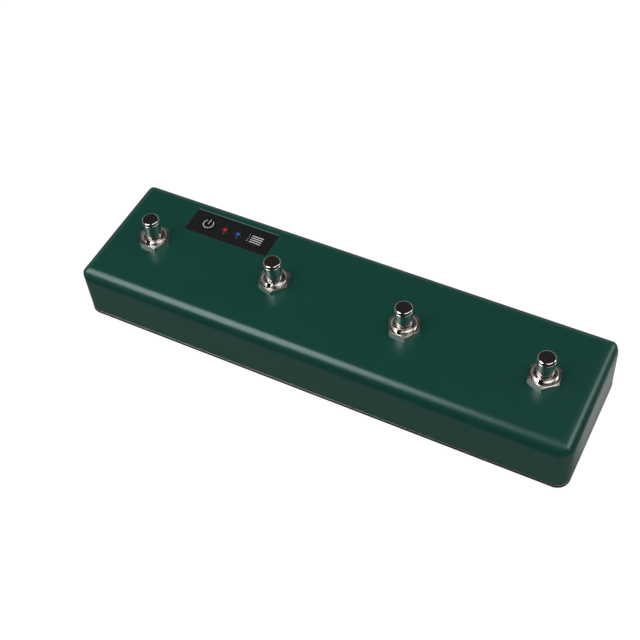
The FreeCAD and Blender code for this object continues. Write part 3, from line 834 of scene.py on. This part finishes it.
def foot_switches():
    """The outer pieces of each foot switch and its return spring."""
    bushing = bushing_pattern()
    nut = nut_pattern()
    plunger = plunger_pattern()
    for number, (x, turn) in enumerate(zip(switch_places, nut_turns), start=1):
        dress(copy_of(bushing, f"bushing_sleeve_{number}", x), "casing", "nickel", f"bushing_{number}")
        dress(copy_of(nut, f"hex_nut_{number}", x, turn), "casing", "nickel", f"nut_{number}")
        dress(copy_of(plunger, f"plunger_rod_{number}", x), f"foot_button_{number}", "chrome",
              f"plunger_{number}")
        low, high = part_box(f"spring_{number}")
        wound = coil(f"spring_coil_{number}", x, low.z, high.z, spring_radius, spring_wire, spring_turns)
        dress(wound, "casing", "steel", f"spring_{number}")
        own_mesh(wound)
    for pattern in (bushing, nut, plunger):
        bpy.data.objects.remove(pattern)


# Underside

screw_x = case_high.x - wall - screw_inset
screw_y = case_high.y - wall - screw_inset
screw_places = [(x, y) for x in (-screw_x, 0, screw_x) for y in (-screw_y, screw_y)]


def base_cover():
    """A sheet coated black below, whose upper face and upper arris are bare."""
    low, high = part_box("base_plate")
    seam = high.z - base_bare
    length = high.x - low.x + 2 * base_proud
    width = high.y - low.y + 2 * base_proud
    radius = corner_radius + base_proud
    coated = rounded_block("base_cover", 0, 0, length, width, low.z, seam, radius, corner_steps)
    bare = rounded_block("base_upper_face", 0, 0, length, width, seam, high.z, radius, corner_steps)
    for piece in (coated, bare):
        for x, y in screw_places:
            sink = lathe("sink", x, y, [(sink_radius + overcut, low.z - overcut),
                                        (screw_hole_radius, low.z + sink_radius - screw_hole_radius),
                                        (screw_hole_radius, high.z + overcut)], 48)
            combine(piece, sink)
        soften(piece, width=0.08 * mm, angle=50, segments=2)
    dress(bare, "casing", "tin")
    return dress(coated, "casing", "black_coat", "base_plate")


def base_screws():
    """Countersunk screws with cross recesses, turned as they were driven."""
    low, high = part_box("base_screws")
    screws = []
    for index, (x, y) in enumerate(screw_places):
        cone_end = low.z + screw_head_radius - base_screw_radius + screw_head_edge
        screw = lathe("screw", 0, 0, [(screw_head_radius - screw_head_chamfer, low.z),
                                      (screw_head_radius, low.z + screw_head_edge),
                                      (base_screw_radius, cone_end), (base_screw_radius, high.z)], 48)
        for turn in (0, 90):
            arm = block("arm", -screw_recess_length / 2, screw_recess_length / 2, -screw_recess_width / 2,
                        screw_recess_width / 2, low.z - overcut, low.z + screw_recess_depth)
            arm.data.transform(Matrix.Rotation(math.radians(turn + screw_turn * index), 4, "Z"))
            combine(screw, arm)
        soften(screw, width=0.05 * mm, segments=2)
        screw.data.transform(Matrix.Translation((x, y, 0)))
        screws.append(screw)
    return dress(join("base_screw_set", screws), "casing", "black_screw", "base_screws")


def feet():
    """Four round feet, slightly hollow beneath and rounded at their lower edge."""
    low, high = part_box("rubber_feet")
    profile = [(foot_radius - inset, z) for inset, z in foot_edge] + [(foot_radius, high.z)]
    made = [lathe("foot", x, y, profile, 64) for x in (low.x + foot_radius, high.x - foot_radius)
            for y in (low.y + foot_radius, high.y - foot_radius)]
    return dress(join("feet_set", made), "casing", "rubber", "rubber_feet")


# Charging port

def charging_port():
    """A drawn metal shell, its contact tongue and the contact pads on both faces of the tongue."""
    low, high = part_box("usb_port")
    place = middle("usb_port")
    mouth = high.y
    rear = mouth - port_room
    rows = [(0, low.y), (0, mouth - port_lip_depth), (-port_lip_inset, mouth),
            (port_flare - port_wall, mouth), (-port_wall, mouth - port_flare_depth), (-port_wall, rear)]
    rings = [upright(port_corners(growth), place.x, y, place.z) for growth, y in rows]
    dress(skin("port_shell", rings), "casing", "tin", "usb_port")
    tongue = block("port_tongue", place.x - tongue_width / 2, place.x + tongue_width / 2,
                   rear + tongue_gap, rear + tongue_length,
                   place.z - tongue_thickness / 2, place.z + tongue_thickness / 2)
    soften(tongue, width=0.12 * mm)
    dress(tongue, "casing", "chip_black")
    pads = []
    for face in (-1, 1):
        z = place.z + face * (tongue_thickness / 2 + pad_lift)
        for index in range(pad_count):
            x = place.x + (index - (pad_count - 1) / 2) * pad_pitch
            pads.append(block("pad", x - pad_width / 2, x + pad_width / 2, rear + pad_start,
                              rear + tongue_length - pad_end, z - pad_thickness / 2, z + pad_thickness / 2))
    dress(join("port_contacts", pads), "casing", "brass")


# Studio: floor, lamps and world

floor_reach = 6.0
floor_low = -0.01
floor_high = -0.00002
floor_albedo = 1.0
floor_glow = 1.1
floor_glow_share = 0.84
floor_mirror_front = 0.16
floor_mirror_side = 0.72
floor_mirror_rear = 0.24
front_fade = (0.018, 0.060)
side_fade = (0.060, 0.140)
side_edge = (-0.020, 0.014)
side_slant = 1.6
side_slant_edge = (0.0, 0.024)
rear_start = 0.45
rear_end = 0.95
sweep_height = 0.65
sweep_mirror = 0.33
left_mirror = 0.5
left_start = -0.4
left_end = -0.9
ambient_way = (0.38, 0.32, 0.87)
ambient_low = 0.14
ambient_high = 0.78
mirror_ambient = 0.018


def glow(tree, strength):
    """A white glow."""
    return node(tree, "ShaderNodeEmission", {"Color": grey(1.0), "Strength": strength}).outputs[0]


def layered(tree, share, first, second):
    """Two shaders mixed by the share of the second."""
    return node(tree, "ShaderNodeMixShader", {0: share, 1: first, 2: second}).outputs[0]


def mirrored_ray(tree):
    """1 for what polished and clear surfaces show, 0 for the rest."""
    path = node(tree, "ShaderNodeLightPath").outputs
    return calculated(tree, "MAXIMUM", path["Is Glossy Ray"], path["Is Transmission Ray"])


def floor():
    """A pale floor that shows as white, keeps a faint shadow of the object and fades away in mirrors."""
    piece = block("floor", -floor_reach, floor_reach, -floor_reach, floor_reach, floor_low, floor_high)
    material = bpy.data.materials.new("floor_white")
    material.use_nodes = True
    tree = material.node_tree
    tree.nodes.remove(tree.nodes["Principled BSDF"])
    place = node(tree, "ShaderNodeTexCoord").outputs["Object"]
    reach = vector(tree, "ABSOLUTE", place)["Vector"]
    beyond = vector(tree, "SUBTRACT", reach, (case_high.x, case_high.y, 1.0))["Vector"]
    outside = vector(tree, "MAXIMUM", beyond, (0, 0, 0))["Vector"]
    distance = vector(tree, "LENGTH", outside)["Value"]
    front = between(tree, distance, floor_mirror_front, 0.0, *front_fade)
    along = split(tree, beyond)["X"]
    back = calculated(tree, "ADD", split(tree, place)["Y"], case_high.y)
    slanted = calculated(tree, "SUBTRACT", back, calculated(tree, "MULTIPLY", along, side_slant))
    side = calculated(tree, "MULTIPLY", between(tree, along, 0.0, 1.0, *side_edge),
                      between(tree, slanted, 0.0, 1.0, *side_slant_edge))
    side = calculated(tree, "MULTIPLY", side, between(tree, distance, floor_mirror_side, 0.0, *side_fade))
    heading = split(tree, vector(tree, "NORMALIZE", place)["Vector"])["Y"]
    rear = between(tree, heading, 0.0, floor_mirror_rear, rear_start, rear_end)
    shine = calculated(tree, "MAXIMUM", calculated(tree, "MAXIMUM", front, side), rear)
    plain = node(tree, "ShaderNodeBsdfDiffuse", {"Color": grey(floor_albedo)}).outputs[0]
    seen = layered(tree, floor_glow_share, plain, glow(tree, floor_glow))
    camera_ray = node(tree, "ShaderNodeLightPath").outputs["Is Camera Ray"]
    shown = layered(tree, camera_ray, plain, seen)
    final = layered(tree, mirrored_ray(tree), shown, glow(tree, shine))
    tree.links.new(final, tree.nodes["Material Output"].inputs["Surface"])
    piece.data.materials.append(material)


def lamp(name, heading, height, distance, across, tall, slant, radiance):
    """An oval softbox that faces the object; heading runs clockwise from the rear, in degrees."""
    data = bpy.data.lights.new(name, "AREA")
    data.shape = "ELLIPSE"
    data.size = across
    data.size_y = tall
    data.energy = radiance * math.pi * math.pi * across * tall / 4
    piece = bpy.data.objects.new(name, data)
    turn, rise = math.radians(heading), math.radians(height)
    way = Vector((math.sin(turn) * math.cos(rise), math.cos(turn) * math.cos(rise), math.sin(rise)))
    facing = way.to_track_quat("Z", "Y").to_matrix().to_4x4() @ Matrix.Rotation(math.radians(slant), 4, "Z")
    piece.matrix_world = Matrix.Translation(way * distance) @ facing
    bpy.context.scene.collection.objects.link(piece)


def world():
    """White to the camera, a pale sweep in mirrors and soft light that is stronger from the right."""
    made = bpy.data.worlds.new("studio")
    made.use_nodes = True
    tree = made.node_tree
    direction = node(tree, "ShaderNodeTexCoord").outputs["Generated"]
    way = split(tree, direction)
    rear = between(tree, way["Y"], 0.0, sweep_mirror, rear_start, rear_end)
    left = between(tree, way["X"], 0.0, left_mirror, left_start, left_end)
    sweep = calculated(tree, "MULTIPLY", calculated(tree, "MAXIMUM", rear, left),
                       between(tree, way["Z"], 1.0, 0.0, 0.0, sweep_height))
    dim = calculated(tree, "ADD", sweep, mirror_ambient)
    toward = vector(tree, "DOT_PRODUCT", direction, ambient_way)["Value"]
    soft = between(tree, toward, ambient_low, ambient_high, 0.0, 1.0)
    change = calculated(tree, "MULTIPLY", mirrored_ray(tree), calculated(tree, "SUBTRACT", dim, soft))
    light = calculated(tree, "ADD", soft, change)
    camera_ray = node(tree, "ShaderNodeLightPath").outputs["Is Camera Ray"]
    background = tree.nodes["Background"]
    background.inputs["Color"].default_value = grey(1.0)
    tree.links.new(calculated(tree, "MAXIMUM", light, camera_ray), background.inputs["Strength"])
    bpy.context.scene.world = made


# Camera

def camera():
    """The photograph's view: place, direction from azimuth and elevation, roll and focal length."""
    place = Vector((180.22, -302.39, 458.60)) * mm
    azimuth = math.radians(32.293)
    elevation = math.radians(51.296)
    roll = math.radians(-6.390)
    back = Vector((math.sin(azimuth) * math.cos(elevation), -math.cos(azimuth) * math.cos(elevation),
                   math.sin(elevation)))
    right = (-back).cross(Vector((0, 0, 1))).normalized()
    up = right.cross(-back)
    across = math.cos(roll) * right + math.sin(roll) * up
    upward = math.cos(roll) * up - math.sin(roll) * right
    lens_data = bpy.data.cameras.new("camera")
    lens_data.sensor_width = 36.0
    lens_data.lens = 67.33
    lens_data.clip_start = 0.01
    eye = bpy.data.objects.new("camera", lens_data)
    turn = Matrix((across, upward, back)).transposed().to_4x4()
    eye.matrix_world = Matrix.Translation(place) @ turn
    bpy.context.scene.collection.objects.link(eye)
    bpy.context.scene.camera = eye


bpy.context.scene.view_settings.view_transform = "Standard"
dress_frame()
cover()
overlay()
power_key()
mode_key()
power_symbol()
list_symbol()
lens("red_lamp_dome", "red_lens", "red_lamp_lens")
lens("blue_lamp_dome", "blue_lens", "blue_lamp_lens")
foot_switches()
base_cover()
base_screws()
feet()
charging_port()
floor()
lamp("front_left", heading=-129, height=57, distance=1.2, across=1.02, tall=0.62, slant=125, radiance=3.9)
lamp("rear_right", heading=60, height=28, distance=1.2, across=0.48, tall=0.48, slant=0, radiance=2.5)
lamp("overhead", heading=84, height=69, distance=1.3, across=0.90, tall=0.80, slant=0, radiance=1.4)
world()
camera()
